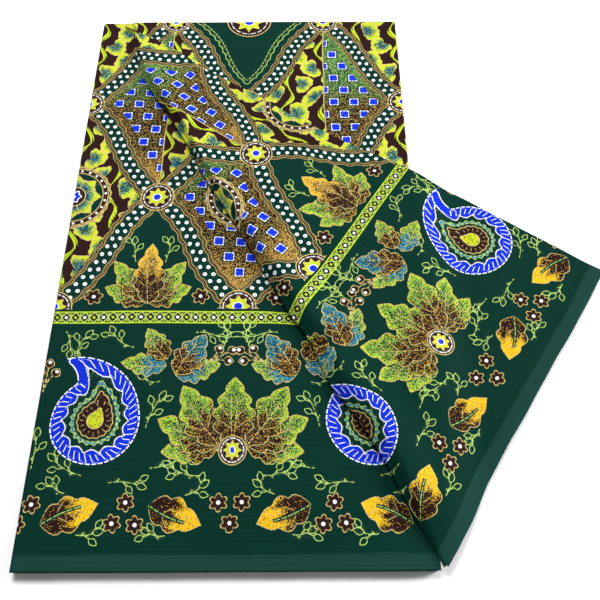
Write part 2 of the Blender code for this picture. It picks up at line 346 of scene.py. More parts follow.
GRAIN_SCALE = 1.95  # grains to a millimetre
DASH = 5.2  # a dash and its gap
STRIPE = 12.0  # width of the selvedge's lighter stripe
STRIPE_FADE = 2.6  # over how much it fades into the ground, in streaks
RING_WIDTH = 1.15  # white of a dot before its green middle
REPEAT = 1000 * PANEL / 2  # half of the print's repeat, between two of its mirror lines
FAR = 30.0
FILLS = ("brown", "lime", "ochre", "blue", "white", "ring", "teal", "grain")
LINES = ("outline", "sprig", "white", "lime")
LINE_NEAR, LINE_STEEP = 1.6, 60.0  # past this distance a line's value grows this much faster
HALO = 1.7  # ground left round a leaf or paisley
GRAINS = ("brown", "lime", "ochre", "teal")
TONES = {"lime": ("fern", "lime"), "ochre": ("sand", "yellow")}  # soft and bright tones of a grain

# Shares of the grains, in the order of GRAINS; what they leave is the ground
YELLOW = (0.08, 0.0, 0.92, 0.0)
DARK = (0.965, 0.0, 0.035, 0.0)
BRIGHT = (0.04, 0.68, 0.0, 0.0)
RUSSET = (0.88, 0.0, 0.11, 0.0)
SEA = (0.0, 0.14, 0.0, 0.62)
MOSS = (0.06, 0.56, 0.02, 0.08)


class Print:
    """The inks' signed distances at a set of cloth points, painted one shape over the other."""

    def __init__(self, x, y):
        self.x, self.y = x, y
        self.pick = slice(None)
        self.fills = {ink: np.full(len(x), FAR) for ink in FILLS}
        self.lines = {ink: np.full(len(x), FAR) for ink in LINES}
        self.grain = np.zeros((len(x), len(GRAINS)))
        self.run = np.zeros(len(x))
        self.tone = np.zeros(len(x))

    def near(self, x, y, reach):
        """The same print, seen only within reach of a place."""
        part = copy.copy(self)
        part.pick = np.flatnonzero((np.abs(self.x - x) < reach) & (np.abs(self.y - y) < reach))
        part.x, part.y = self.x[part.pick], self.y[part.pick]
        return part

    def paint(self, ink, distance):
        """Fills a shape, given as a signed distance that is negative inside, with an ink or the ground."""
        for other in self.fills.values():
            other[self.pick] = np.maximum(other[self.pick], -distance)
        for other in self.lines.values():
            hidden = np.maximum(np.abs(other[self.pick]), 0.5 - distance)
            other[self.pick] = np.copysign(hidden, other[self.pick])
        if ink != "ground":
            self.fills[ink][self.pick] = np.minimum(self.fills[ink][self.pick], distance)

    def line(self, ink, distance, width=1.0, run=0.0):
        """Draws a line where a signed distance is zero; run, along it, sets its dashes.

        The line keeps its sides' signs, so that it stays even between the cloth's points.
        """
        off = np.abs(distance)
        steep = np.copysign(off + LINE_STEEP * np.maximum(off - LINE_NEAR, 0.0), distance) / width
        before = self.lines[ink][self.pick]
        self.lines[ink][self.pick] = np.where(np.abs(steep) < np.abs(before), steep, before)
        self.run[self.pick] = np.where(off < LINE_NEAR + 0.2, run, self.run[self.pick])

    def edged(self, ink, distance, width, line="outline"):
        """Fills a shape and draws a line round it."""
        self.paint(ink, distance)
        self.line(line, distance, width)

    def speckle(self, distance, *shares, tone=0.0):
        """Fills a shape with grains: each share is a grain's part of the area, and the rest is ground."""
        self.paint("grain", distance)
        made = np.cumsum(np.stack(np.broadcast_arrays(*shares), axis=-1), axis=-1)
        inside = distance < 1.5
        self.grain[self.pick] = np.where(inside[:, None], made, self.grain[self.pick])
        self.tone[self.pick] = np.where(inside, tone, self.tone[self.pick])


def only(where):
    """A function that keeps a distance where a condition holds, and is far outside elsewhere."""
    return lambda distance: np.where(where, distance, FAR)


def unit(angle):
    """The direction at an angle in degrees."""
    return np.array([math.cos(math.radians(angle)), math.sin(math.radians(angle))])


def leaf(x, y, root, angle, length, width, teeth=0, depth=0.0):
    """A leaf's signed distance, and how far along (0 to 1) and aside of its rib points lie."""
    way = unit(angle)
    along = (x - root[0]) * way[0] + (y - root[1]) * way[1]
    across = (y - root[1]) * way[0] - (x - root[0]) * way[1]
    share = np.clip(along / length, 0.0, 1.0)
    half = width / 2 * np.sin(math.pi * share**0.8) ** 0.85
    if teeth:
        half = half * (1 - depth + depth * np.abs(np.sin(math.pi * teeth * share)))
    past = np.maximum(-along, along - length)
    distance = np.where(past > 0, np.hypot(past, across), 0.88 * (np.abs(across) - half))
    return distance, share, across


def stroke(x, y, points):
    """Distance to a line through points, signed by its sides, and the length run along it."""
    best, run, length = np.full(len(x), 1e6), np.zeros(len(x)), 0.0
    last = len(points) - 2
    for k, ((ax, ay), (bx, by)) in enumerate(zip(points, points[1:])):
        size = math.hypot(bx - ax, by - ay)
        reached = ((x - ax) * (bx - ax) + (y - ay) * (by - ay)) / size**2
        share = np.clip(reached, 0.0, 1.0)
        distance = np.hypot(x - ax - share * (bx - ax), y - ay - share * (by - ay))
        past = (k == 0) * np.maximum(-reached, 0.0) + (k == last) * np.maximum(reached - 1, 0.0)
        distance = distance + 3 * size * past
        side = (x - ax) * (by - ay) - (y - ay) * (bx - ax)
        closer = distance < np.abs(best)
        best = np.where(closer, np.copysign(distance, side), best)
        run = np.where(closer, length + share * size, run)
        length += size
    return best, run


def curve(root, angle, length, bend, count=8):
    """Points on a line that leaves root at an angle and bends evenly, in degrees in all."""
    points = [tuple(root)]
    for k in range(count):
        step = unit(angle + bend * (k + 0.5) / count) * length / count
        points.append((points[-1][0] + step[0], points[-1][1] + step[1]))
    return points


def teardrop(x, y, centre, radius, angle, length, bend, count=16):
    """A paisley's signed distance: a disc that shrinks along a bending line."""
    best = np.full(len(x), 1e6)
    for k, (cx, cy) in enumerate(curve(centre, angle, length, bend, count)):
        best = np.minimum(best, np.hypot(x - cx, y - cy) - radius * (1 - k / count) ** 1.15)
    return best


def printed_leaf(art, root, angle, length, width, tip, base, teeth=4, depth=0.30, **look):
    """A lobed leaf in grains that turn from its base's to its tip's, with a bowed rib and veins."""
    look = {"tone": 0.35, "turns": 0.37, "hollow": 0.5, "rib": "outline", "bow": 2.2, **look}
    here = art.near(*(np.array(root) + unit(angle) * length / 2), length / 2 + width / 2 + 9)
    distance, share, across = leaf(here.x, here.y, root, angle, length, width, teeth, depth)
    edge = distance + 0.2 * np.sin(2.1 * share * length)
    here.paint("ground", edge - HALO)
    toward_tip = ease((share + 0.08 * np.sin(0.6 * across) - look["turns"]) / 0.28)
    dim = 1 - look["hollow"] * ease((-distance - 1) / 6) * toward_tip
    dark, *light = (low + (high - low) * toward_tip for low, high in zip(base, tip))
    rim = look["tone"] + 0.5 * ease((distance + 4) / 3)
    here.speckle(edge, dark, *(part * dim for part in light), tone=rim)
    here.line("outline", edge, 0.7)
    spine = across - look["bow"] * np.sin(math.pi * share)
    if look["rib"] == "sprig":
        stalk = np.maximum(np.abs(spine) - 1.5, share * length - 0.72 * length)
        here.paint("ground", only(distance < -0.5)(stalk))
    rib = only((share > 0.02) & (share < 0.74))(spine)
    here.line(look["rib"], rib, 0.75, share * length)
    for k in range(1, 4):
        start = share * length - length * (0.08 + 0.18 * k)
        veined = (start > 1.5) & (np.abs(spine) < width * 0.30) & (distance < -2) & (share < 0.86)
        here.line("outline", only(veined)((np.abs(spine) - start) * 0.7), 0.5)


def sprig(art, root, angle, length, bend, shoots=4):
    """A dashed stem with short shoots, each with a bud, and a bud at its end."""
    spine = curve(root, angle, length, bend)
    here = art.near(*spine[4], length * 0.62 + 14)
    distance, run = stroke(here.x, here.y, spine)
    here.line("sprig", distance, 0.7, run + 1)
    for k in range(1, shoots + 1):
        share = k / (shoots + 0.6)
        x, y = spine[min(round(share * 8), 8)]
        way = angle + bend * share + 42 * (1 if k % 2 else -1)
        end = np.array([x, y]) + unit(way) * (3.0 + 3.5 * share)
        distance, _ = stroke(here.x, here.y, [(x, y), tuple(end)])
        here.line("sprig", distance, 0.65)
        if share > 0.4:
            here.line("sprig", leaf(here.x, here.y, end, way, 7.5, 4.8)[0], 0.68)
    here.line("sprig", leaf(here.x, here.y, spine[-1], angle + bend, 8.5, 5.2)[0], 0.68)


def berries(art, root, angle, spread=34):
    """Three brown berries with white eyes, on stems that part."""
    here = art.near(*root, 34)
    for side, length in ((-1, 17), (0, 23), (1, 15)):
        stem = curve(root, angle, length, spread * side, 5)
        distance, run = stroke(here.x, here.y, stem)
        here.line("outline", distance, 0.85, run + 1)
        way = angle + spread * side
        here.edged("brown", leaf(here.x, here.y, stem[-1], way, 8.5, 8.0)[0], 0.8)
        eye = np.array(stem[-1]) + 5.2 * unit(way)
        here.paint("white", np.hypot(here.x - eye[0], here.y - eye[1]) - 1.6)


def small_flower(art, centre, turn, radius=8.0):
    """A brown flower of six petals with a pale outline and a white eye."""
    here = art.near(*centre, radius + 4)
    dx, dy = here.x - centre[0], here.y - centre[1]
    out, angle = np.hypot(dx, dy), np.arctan2(dy, dx) + math.radians(turn)
    here.edged("brown", 0.9 * (out - radius * (0.58 + 0.42 * np.abs(np.cos(3 * angle)))), 0.8)
    here.paint("white", out - 1.7)


def garland(art):
    """A row along the selvedge: large leaves that turn from brown to yellow, flowers and sprigs."""
    wave = REPEAT / 2
    for k in range(3):
        x, up = (k - 0.5) * wave, 1 if k % 2 else -1
        sprig(art, (x - 8, 42 + 16 * up), 168 * up, 13, -40, 3)
        sprig(art, (x + 6, 42 - 15 * up), -12 * up, 13, 30, 3)
        printed_leaf(
            art, (x - 22, 42 - 7 * up), 20 * up, 44, 29, YELLOW, DARK, 3, 0.26,
            tone=0.9, turns=0.40, hollow=0.0, rib="sprig", bow=3.0 * up,
        )
    for k in range(3):
        x, up = k * wave, 1 if k % 2 else -1
        small_flower(art, (x - 9, 43 - 8 * up), 15 * k, 7.2)
        small_flower(art, (x + 9, 42 - 8 * up), 15 * k + 10, 7.2)
        small_flower(art, (x, 43 + 8 * up), 20 * k, 7.2)


def paisley(art, centre, radius, angle, length, bend):
    """A paisley: a cobalt frill with white ribs, then scallops and dots, and a brown heart."""
    here = art.near(*centre, radius + length)
    distance = teardrop(here.x, here.y, centre, radius, angle, length, bend)
    turn = np.arctan2(here.y - centre[1], here.x - centre[0])
    around = radius * turn
    here.paint("ground", distance - HALO)
    here.paint("blue", distance)
    ribs = only((distance > -8.5) & (distance < -1.8))(1.8 * np.sin(21 * turn - 0.3 * distance))
    here.line("white", ribs, 0.75)
    here.line("white", distance, 1.0, around)
    frill = distance + 8.6 + 3.6 * np.abs(np.sin(7 * turn))
    here.edged("ground", frill, 0.9, "white")
    scallops = distance + 15.2 + 2.2 * np.abs(np.sin(10.5 * turn))
    here.paint("teal", np.maximum(scallops, -distance - 18.6))
    here.line("sprig", scallops, 0.85)
    here.line("sprig", distance + 18.8, 0.8, 0.6 * around)
    heart = distance + 22.0 + 0.5 * np.sin(15 * turn)
    here.edged("brown", heart, 0.9)
    ticks = only((distance < -24.2) & (distance > -27.6))(2.4 * np.sin(8 * turn))
    here.line("outline", ticks, 0.8)
    here.speckle(distance + 30.0, 0.22, 0.66, 0.12, 0.0, tone=1.0)
    here.line("outline", distance + 30.0, 0.8)


# Sprigs between the paisleys: root, angle, length, bend and how many shoots
SPRIGS = (
    ((98, 78), 4, 30, 28, 4),
    ((93, 112), 80, 26, -20, 4),
    ((4, 78), 84, 26, 10, 3),
    ((76, 184), 170, 24, -50, 3),
    ((152, 182), 62, 20, 30, 3),
    ((14, 200), -50, 20, -40, 3),
    ((100, 152), 200, 14, -60, 2),
    ((44, 72), 168, 26, -34, 4),
    ((66, 66), 12, 24, -30, 3),
    ((140, 72), 184, 26, -40, 4),
    ((30, 172), 118, 24, -70, 4),
    ((128, 198), 8, 22, -40, 3),
)


def blossom_zone(art):
    """Paisleys in facing pairs, with fans of leaves, sprigs and berries between them."""
    for place in SPRIGS:
        sprig(art, *place)
    for angle, length, width in ((186, 46, 27), (155, 55, 32), (122, 61, 34)):
        printed_leaf(art, (152, 96), angle, length, width, BRIGHT, RUSSET)
    printed_leaf(art, (REPEAT, 92), 90, 64, 36, BRIGHT, RUSSET, 5)
    boss(art, art.x - REPEAT, art.y - 92, art.x > REPEAT - 30, 12.0)
    for angle, length, width, tip, base in ((14, 40, 25, MOSS, SEA), (56, 46, 28, SEA, RUSSET)):
        printed_leaf(art, (112, 158), angle, length, width, tip, base)
    printed_leaf(art, (104, 166), 174, 38, 23, BRIGHT, SEA)
    printed_leaf(art, (104, 172), 122, 35, 22, MOSS, RUSSET)
    paisley(art, (50, 118), 37, 66, 76, 112)
    berries(art, (2, 142), 84)
    berries(art, (137, 168), 28)


CHAIN = {"middle": 213.0, "half": 5.4, "links": 20}


def chain(art):
    """A narrow band of linked lozenges with eyes, on lime."""
    off = art.y - CHAIN["middle"]
    step = REPEAT / CHAIN["links"]
    place = art.x / step
    dx, dy = (place % 1.0 - 0.5) * step, off
    art.paint("ground", np.abs(off) - CHAIN["half"] - 2.0)
    art.line("lime", np.abs(off) - CHAIN["half"], 1.2)
    link = (np.abs(dx) / (0.54 * step) + np.abs(dy) / CHAIN["half"] - 1) * 3.0
    art.edged("brown", link, 0.9, "sprig")
    between = ((place + 0.5) % 1.0 - 0.5) * step
    art.paint("lime", np.hypot(between, np.abs(dy) - 3.1) - 1.0)
    eye = np.hypot(dx, dy)
    odd = np.floor(place) % 2 == 1
    art.paint("white", only(odd)(eye - 1.5))
    art.paint("lime", only(~odd)(eye - 1.3))


# The ogee lattice of the field
LOZENGE = (REPEAT / 2, 120.0)  # half of a cell, along and across the cloth
OGEE = 0.06
BAND = 7.4  # half of the width of a dotted band
RUFFLE = 3.2  # the wavy brown line beside it
FIELD_START = 221.0
FIELD_MIDDLE = 1000 * HALF_WIDTH
FAN_PITCH = (41.0, 21.0)  # between stems, and between the leaves along one
SPRAY_ROW = 3  # the row of cells that the chain cuts, which holds sprays of leaves


class Lattice:
    """Where points lie in the ogee lattice: cell, place in the cell, and distance to the bands."""

    def __init__(self, art):
        wide, high = LOZENGE
        rise = (FIELD_MIDDLE - art.y) / high
        bent = rise + OGEE * np.sin(2 * math.pi * rise)
        steep = (1 + 2 * math.pi * OGEE * np.cos(2 * math.pi * rise)) / high
        p, q = art.x / wide + bent, art.x / wide - bent
        to_mm = 1 / np.hypot(1 / wide, steep)
        self.off_p, self.off_q = (p % 2 - 1) * to_mm, (q % 2 - 1) * to_mm
        self.edge = np.minimum(np.abs(self.off_p), np.abs(self.off_q))
        self.row = np.round(p / 2) - np.round(q / 2)
        column = np.round(p / 2) + np.round(q / 2)
        self.x, self.y = art.x - column * wide, art.y - FIELD_MIDDLE + self.row * high
        size = math.hypot(wide, high)
        self.run_p = (art.x * wide + art.y * high) / size
        self.run_q = (art.x * wide - art.y * high) / size
        self.run = np.where(np.abs(self.off_p) < np.abs(self.off_q), self.run_p, self.run_q)
        self.start = art.y > FIELD_START
        self.knot = self.knot_places(art, wide, high)

    def knot_places(self, art, wide, high):
        """Each point's place from the nearest crossing of two bands."""
        across, up = art.x / wide, (FIELD_MIDDLE - art.y) / high
        even_x, even_y = np.round(across / 2) * 2, np.round((up - 1) / 2) * 2 + 1
        odd_x, odd_y = np.round((across - 1) / 2) * 2 + 1, np.round(up / 2) * 2
        even = (across - even_x) * wide, (even_y - up) * high
        odd = (across - odd_x) * wide, (odd_y - up) * high
        nearer = np.hypot(*even) < np.hypot(*odd)
        return np.where(nearer, even[0], odd[0]), np.where(nearer, even[1], odd[1])

    def inside(self, chosen, margin):
        """The signed distance of the chosen cells, less a margin inside their bands."""
        return np.where(chosen & self.start, margin - self.edge, FAR)


def field(art):
    """Ogee cells between dotted bands, filled with grains, leaves on brown, or sprays."""
    cells = Lattice(art)
    left = cells.x < 0
    margin = BAND + RUFFLE
    filled = cells.row < SPRAY_ROW
    graded_cells(art, cells, filled & (cells.row > 0) & left, margin)
    leafy_cells(art, cells, filled & ~left, margin)
    plain_cells(art, cells, (cells.row == 0) & left, margin)
    divided = only((cells.row == 1) & cells.start & (cells.edge > margin))
    art.line("outline", divided(cells.x), 0.9)
    medallions(art, cells)
    bands(art, cells)
    boss(art, *cells.knot, cells.start, 15.5)


def graded_cells(art, cells, chosen, margin):
    """Grains that run from ochre through brown to green, under cobalt squares."""
    t = np.clip((cells.y + LOZENGE[1]) / (2 * LOZENGE[1]), 0.0, 1.0)
    low, high = ease((0.27 - t) / 0.18), ease((t - 0.44) / 0.22)
    middle = (1 - low) * (1 - high)
    brown = 0.50 * low + 0.84 * middle + 0.04 * high
    lime = 0.01 * low + 0.03 * middle + 0.30 * high
    ochre = 0.46 * low + 0.12 * middle + 0.02 * high
    art.speckle(cells.inside(chosen, margin), brown, lime, ochre, 0.03 * high, tone=0.05)
    squares(art, cells.x, cells.y, chosen & (cells.edge > margin + 6.5) & cells.start)


def plain_cells(art, cells, chosen, margin):
    """Bare ground inside a scalloped line, with a star in the middle."""
    inset = cells.inside(chosen, margin)
    art.line("sprig", inset + 6.0 + 1.6 * np.abs(np.sin(0.30 * cells.run)), 0.85)
    art.line("sprig", inset + 11.0, 0.8, cells.run)
    boss(art, cells.x, cells.y, chosen & cells.start, 24.0)


def squares(art, x, y, where):
    """Cobalt squares with white edges, in a staggered grid."""
    pitch_x, pitch_y = 20.5, 17.0
    row = np.round(y / pitch_y)
    along = (x / pitch_x + 0.5 * (row % 2)) % 1.0 - 0.5
    dx, dy = along * pitch_x, y - row * pitch_y
    distance = np.maximum(np.abs(dx), np.abs(dy)) - 4.3 + 0.5 * np.cos(1.9 * dx) * np.cos(1.9 * dy)
    kept = only(where)
    art.paint("ground", kept(distance - 1.6))
    art.edged("blue", kept(distance), 0.6, "white")


def leafy_cells(art, cells, chosen, margin):
    """Ruffled leaves on branching stems, lime at the rim and dark in the middle, on brown."""
    where = chosen & cells.start & (cells.edge > margin + 1.0)
    kept = only(where)
    art.paint("brown", cells.inside(chosen, margin))
    bent_x = cells.x + 5.0 * np.sin(cells.y / 21.0 + 0.6 * cells.row)
    bent_y = cells.y + 6.0 * np.sin(cells.x / 15.0)
    from_stem = bent_x - FAN_PITCH[0] * np.round(bent_x / FAN_PITCH[0])
    winding = from_stem + 4.5 * np.sin(math.pi * bent_y / FAN_PITCH[1])
    art.paint("lime", kept(np.abs(winding) - 1.9 - 0.7 * np.sin(bent_y / 4.0)))
    art.paint("brown", kept(np.abs(winding - 0.5) - 0.5))
    for side in (-1, 1):
        fan_leaves(art, kept, bent_x, bent_y, side)


def fan_leaves(art, kept, x, y, side):
    """Ruffled fan-shaped leaves on one side of the stems, each with a narrow foot on its stem."""
    pitch_x, pitch_y = FAN_PITCH[0], 2 * FAN_PITCH[1]
    row = np.round(y / pitch_y - 0.25 * side)
    dy = y - (row + 0.25 * side) * pitch_y
    column = np.round(x / pitch_x - side * 0.30)
    dx = side * (x - (column + side * 0.30) * pitch_x)
    tilt = 0.6 * np.sin(2.4 * row + 1.7 * column + side)
    out, angle = np.hypot(dx, dy), np.arctan2(dy, dx) - tilt
    size = 14.2 + 1.4 * np.sin(3.1 * row + 2.3 * column)
    lobes = 0.20 * (1 - np.abs(np.sin(1.5 * angle + row))) + 0.07 * (1 - np.abs(np.sin(6 * angle)))
    foot = 0.66 * ease((np.abs(angle) - 1.7) / 1.2)
    shown = kept(0.85 * (out - size * (1 - lobes - foot)))
    deep = ease((size * 0.80 - out - 0.8 * np.sin(6 * angle)) / (size * 0.55))
    shares = 0.20 * deep, 0.82 - 0.70 * deep, 0.17 * (1 - deep), 0.28 * deep
    art.speckle(shown, *shares, tone=0.95 - 0.6 * deep)
    art.line("outline", shown, 0.7)


def medallions(art, cells):
    """A ringed flower in the middle of the graded cells."""
    chosen = cells.start & (cells.row == 2)
    kept = only(chosen)
    out, angle = np.hypot(cells.x, cells.y), np.arctan2(cells.y, cells.x)
    art.edged("ground", kept(out - 36 + 0.6 * np.cos(24 * angle)), 1.0)
    art.edged("brown", kept(np.abs(out - 31) - 2.6), 0.9)
    bead = ((angle * 12 / math.pi) % 1.0 - 0.5) * math.pi / 12 * 31
    art.paint("white", kept(np.hypot(bead, out - 31) - 1.3))
    petals = kept(0.85 * (out - 26.5 * (1 - 0.24 * np.abs(np.sin(4 * angle)))))
    rim = ease((out - 13) / 9)
    shares = 0.35 * (1 - rim), 0.08 + 0.76 * rim, 0.10 * rim, 0.32 * (1 - rim)
    art.speckle(petals, *shares, tone=rim)
    art.line("outline", petals, 1.0)
    ribbed = only(chosen & (out > 12) & (out < 22))
    art.line("outline", ribbed(5 * np.sin(4 * angle + 1.57)), 0.9)
    art.edged("brown", kept(out - 11), 1.0)
    art.edged("blue", kept(0.85 * (out - 7.5 * (1 - 0.3 * np.abs(np.sin(3 * angle))))), 1.0, "white")
    art.paint("white", kept(out - 1.6))


def bands(art, cells):
    """Green bands with two rows of white dots, between wavy brown lines."""
    edge = np.where(cells.start, cells.edge, FAR)
    ripple = 0.8 * np.sin(0.42 * cells.run)
    art.paint("ground", edge - BAND - RUFFLE)
    art.paint("brown", np.abs(edge - BAND - RUFFLE / 2 + ripple) - RUFFLE / 2)
    for side in (0, 1):
        art.line("outline", edge - BAND - side * RUFFLE + ripple, 0.5)
    within = only(cells.start & (cells.edge < BAND))
    for offset, run in ((cells.off_p, cells.run_p), (cells.off_q, cells.run_q)):
        for side in (-1, 1):
            bead = ((run / 9.0 + 0.25 * side) % 1.0 - 0.5) * 9.0
            dot = np.hypot(bead, offset - 3.2 * side) - 1.95
            art.paint("ring", within(dot))


def boss(art, x, y, where, size):
    """A ringed star about the place where x and y are zero: brown, lime and cobalt."""
    kept = only(where)
    out, angle = np.hypot(x, y), np.arctan2(y, x)
    art.edged("brown", kept(out - size), 1.0)
    art.line("white", kept(out - 0.83 * size), 0.85, 13 * angle)
    star = kept(0.8 * (out - 0.70 * size * (1 - 0.36 * np.abs(np.sin(4 * angle)))))
    art.speckle(star, 0.02, 0.84, 0.10, 0.0, tone=1.0)
    art.line("outline", star, 0.8)
    art.edged("blue", kept(out - 0.25 * size), 0.9, "white")


def sprays(art):
    """A fan of leaves above the chain, in the cells that it cuts."""
    x, y = (SPRAY_ROW - 2) * LOZENGE[0], FIELD_START + 5
    for angle, length in ((22, 42), (158, 42), (52, 54), (128, 54)):
        printed_leaf(art, (x, y + 2), angle, length, 25, BRIGHT, RUSSET)
    printed_leaf(art, (x, y), 90, 64, 30, YELLOW, DARK, 5)
    for side in (-1, 1):
        sprig(art, (x + 14 * side, y + 44), 90 - 14 * side, 20, 10 * side, 3)
        small_flower(art, (x + 48 * side, y + 8), 10 * side)


def printed(u, v):
    """The print at points of the flat cloth, in metres."""
    x = 1000 * u
    y = 1000 * np.minimum(v, 2 * HALF_WIDTH - v)
    drift = 0.5 * np.sin(0.05 * x + 0.031 * y) + 0.4 * np.sin(0.083 * y - 0.02 * x)
    folded = np.abs((x + REPEAT) % (2 * REPEAT) - REPEAT)
    art = Print(folded + drift * (folded > 1) * (folded < REPEAT - 1), y + 0.6 * drift)
    for painter in (field, sprays, chain, blossom_zone, garland):
        painter(art)
    return art


# Meshes from rows of cloth points


def zipped(lower, upper, first_lower, first_upper):
    """Triangles between two rows of points, given by their places along the row."""
    places = np.concatenate([lower[1:], upper[1:]])
    from_upper = np.concatenate([np.zeros(len(lower) - 1, bool), np.ones(len(upper) - 1, bool)])
    from_upper = from_upper[np.argsort(places, kind="stable")]
    b = np.cumsum(from_upper) - from_upper
    a = np.cumsum(~from_upper) - ~from_upper
    third = np.where(from_upper, first_upper + b + 1, first_lower + a + 1)
    return np.stack([first_lower + a, third, first_upper + b], axis=-1)


def cloth_mesh(rows, place, flipped=False):
    """Points on the flat cloth, points in the pack's frame and triangles, from rows of (v, us)."""
    counts = [len(us) for _, us in rows]
    firsts = np.concatenate([[0], np.cumsum(counts)])
    u = np.concatenate([us for _, us in rows])
    v = np.concatenate([np.full(len(us), v) for v, us in rows])
    strips = [
        zipped(low[1], high[1], firsts[k], firsts[k + 1])
        for k, (low, high) in enumerate(zip(rows, rows[1:]))
    ]
    faces = np.concatenate(strips)[:, :: -1 if flipped else 1]
    return u, v, place(u, v), faces, firsts


# Profile of a doubled edge: how far out and down each of its lines lies, in metres
DOUBLED_EDGE = {
    "out": (0.00010, 0.00008, -0.00040, -0.00040, 0.00015, 0.00010),
    "down": (0.00015, 0.00045, 0.00050, 0.00065, 0.00070, 0.00115),
    "slips": (0, 0, 0, 0, 1, 1),  # the lower layer's lines
}
SLIP = 0.0005  # how far the lower layer's edge strays from the upper one's


def add_rim(parts, edge, way):
    """Adds a doubled edge below a run of border points, on the side that way points to."""
    u, v, points, faces, _ = parts
    rings = [edge]
    slip = SLIP * np.sin(70 * (u[edge] + v[edge]))
    for out, down, slips in zip(*DOUBLED_EDGE.values()):
        start = len(points)
        moved = points[edge].copy()
        moved[:, :2] += (out + slips * slip)[:, None] * way
        moved[:, 2] -= down
        points = np.concatenate([points, moved])
        u, v = np.concatenate([u, u[edge]]), np.concatenate([v, v[edge]])
        rings.append(np.arange(start, start + len(edge)))
    for upper, lower in zip(rings, rings[1:]):
        a, b, c, d = upper[:-1], lower[:-1], lower[1:], upper[1:]
        faces = np.concatenate([faces, np.stack([a, b, c], -1), np.stack([a, c, d], -1)])
    return u, v, points, faces, parts[4]


def placed(name, data):
    """A new object in the scene."""
    made = bpy.data.objects.new(name, data)
    bpy.context.scene.collection.objects.link(made)
    return made


def cloth_object(name, u, v, points, faces, material, slot, node):
    """A piece from cloth points, with the print's values kept on them, that stands for a node."""
    mesh = bpy.data.meshes.new(name)
    mesh.from_pydata((points + PACK_CORNER).tolist(), [], faces.tolist())
    mesh.shade_smooth()
    art = printed(u, v)
    groups = {
        "ink_fills": [art.fills[ink] for ink in FILLS[:4]],
        "ink_marks": [art.fills[ink] for ink in FILLS[4:]],
        "ink_lines": [art.lines[ink] for ink in LINES],
        "grain_shares": list(art.grain.T),
        "cloth_place": [1000 * u, 1000 * np.minimum(v, 2 * HALF_WIDTH - v), art.run, art.tone],
    }
    for key, columns in groups.items():
        attribute = mesh.attributes.new(key, "FLOAT_COLOR", "POINT")
        attribute.data.foreach_set("color", np.stack(columns, axis=-1).astype(np.float32).ravel())
    mesh.materials.append(material)
    piece = placed(name, mesh)
    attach(piece, "root")
    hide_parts(node)
    return piece


def span(start, end, step):
    """Places from start to end, near a step apart."""
    return np.linspace(start, end, max(2, round(abs(end - start) / step) + 1))


def fold_rows():
    """Rows over a centre fold at the back: fine ones round it."""
    last = HALF_WIDTH - turned_length(CENTRE_FOLD_RADIUS, math.pi)
    return span(HALF_WIDTH - CENTRE_FOLD_RADIUS, last, FOLD_STEP)


def crease_u(v):
    """Where the diagonal crosses a row of the top panel, a little inside the roll."""
    along = v * DIAGONAL / HALF_WIDTH
    return PANEL - END_PANEL * v / HALF_WIDTH + wander(DIAGONAL_WANDER, along) + UNDER_ROLL


def top_cloth(material):
    """The uppermost panel: fine where it shows, and coarse under the corner."""
    start, end = turned_length(LEFT_RADIUS, math.pi / 2), PANEL - STACK_INSET
    rows = []
    for v in [*span(0.0, HALF_WIDTH - CENTRE_FOLD_RADIUS, FINE), *fold_rows()[1:]]:
        crease = min(max(crease_u(v), LEAST_SHOWN), PANEL - ROW_GAP)
        wrap = span(start, LEFT_RADIUS, FOLD_STEP * 2)
        shown = np.arange(LEFT_RADIUS + FINE, crease, FINE)
        flat_from = min(crease + SPARSE, end)
        hidden = span(crease, flat_from, COARSE)
        if flat_from < end:
            hidden = np.append(hidden, span(flat_from, end, SPARSE)[1:])
        rows.append((v, np.concatenate([wrap, shown, hidden])))
    parts = cloth_mesh(rows, top_place)
    parts = add_rim(parts, np.arange(len(rows[0][1])), np.array([0.0, -1.0]))
    piece = cloth_object("top_cloth", *parts[:4], material, "cloth_top", "top_panel")


def back_cloth(material):
    """The turned back panel, up to the diagonal; only its upper right triangle shows."""
    turn = span(PANEL + turned_length(TURN_RADIUS, math.pi), PANEL + TURN_RADIUS, FOLD_STEP)
    hidden = span(BACK_START, BACK_SHOWS, COARSE)
    shown = span(BACK_SHOWS, HALF_WIDTH - CENTRE_FOLD_RADIUS, FINE)[1:]
    rows = []
    for v in [*hidden, *shown, *fold_rows()[1:]]:
        step = COARSE if v < BACK_SHOWS else FINE
        end = 2 * PANEL - crease_u(min(v, HALF_WIDTH)) - ROW_GAP
        rows.append((v, np.concatenate([turn, span(turn[-1], end, step)[1:]])))
    parts = cloth_mesh(rows, back_place, flipped=True)
    piece = cloth_object(
        "turned_back_cloth", *parts[:4], material, "cloth_turned_back", "turned_back_panel"
    )


LEAST_ROW = 0.002  # shorter rows are left out at the corner's tip
TURN_LENGTH = 0.016  # of a row's start, where it turns round the roll in shorter steps
UNDERSIDE = 0.95  # how far down the corner's lower face lies, as a share of its wall


def corner_rows(step, roll):
    """Rows of the corner's cloth, from the diagonal, or the roll's lower end, to the cut end."""
    rows, end = [], PANEL + END_PANEL
    for v in span(0.0, APEX * HALF_WIDTH / DIAGONAL, step):
        along = v * DIAGONAL / HALF_WIDTH
        past = roll * rolled_length(roll_radius(along), wander(ROLL_REACH, along))
        start = PANEL + END_PANEL * v / HALF_WIDTH + past * DIAGONAL / HALF_WIDTH
        nose = PANEL + NOSE[0] - v * (NOSE[0] - NOSE[1]) / NOSE[0]
        start = max(start, nose) if v < NOSE[0] else start
        if end - start > LEAST_ROW:
            turn = span(start, min(start + TURN_LENGTH, end), step * 0.7)
            rest = span(turn[-1], end, step)[1:] if turn[-1] < end else []
            rows.append((v, np.concatenate([turn, rest])))
    return rows


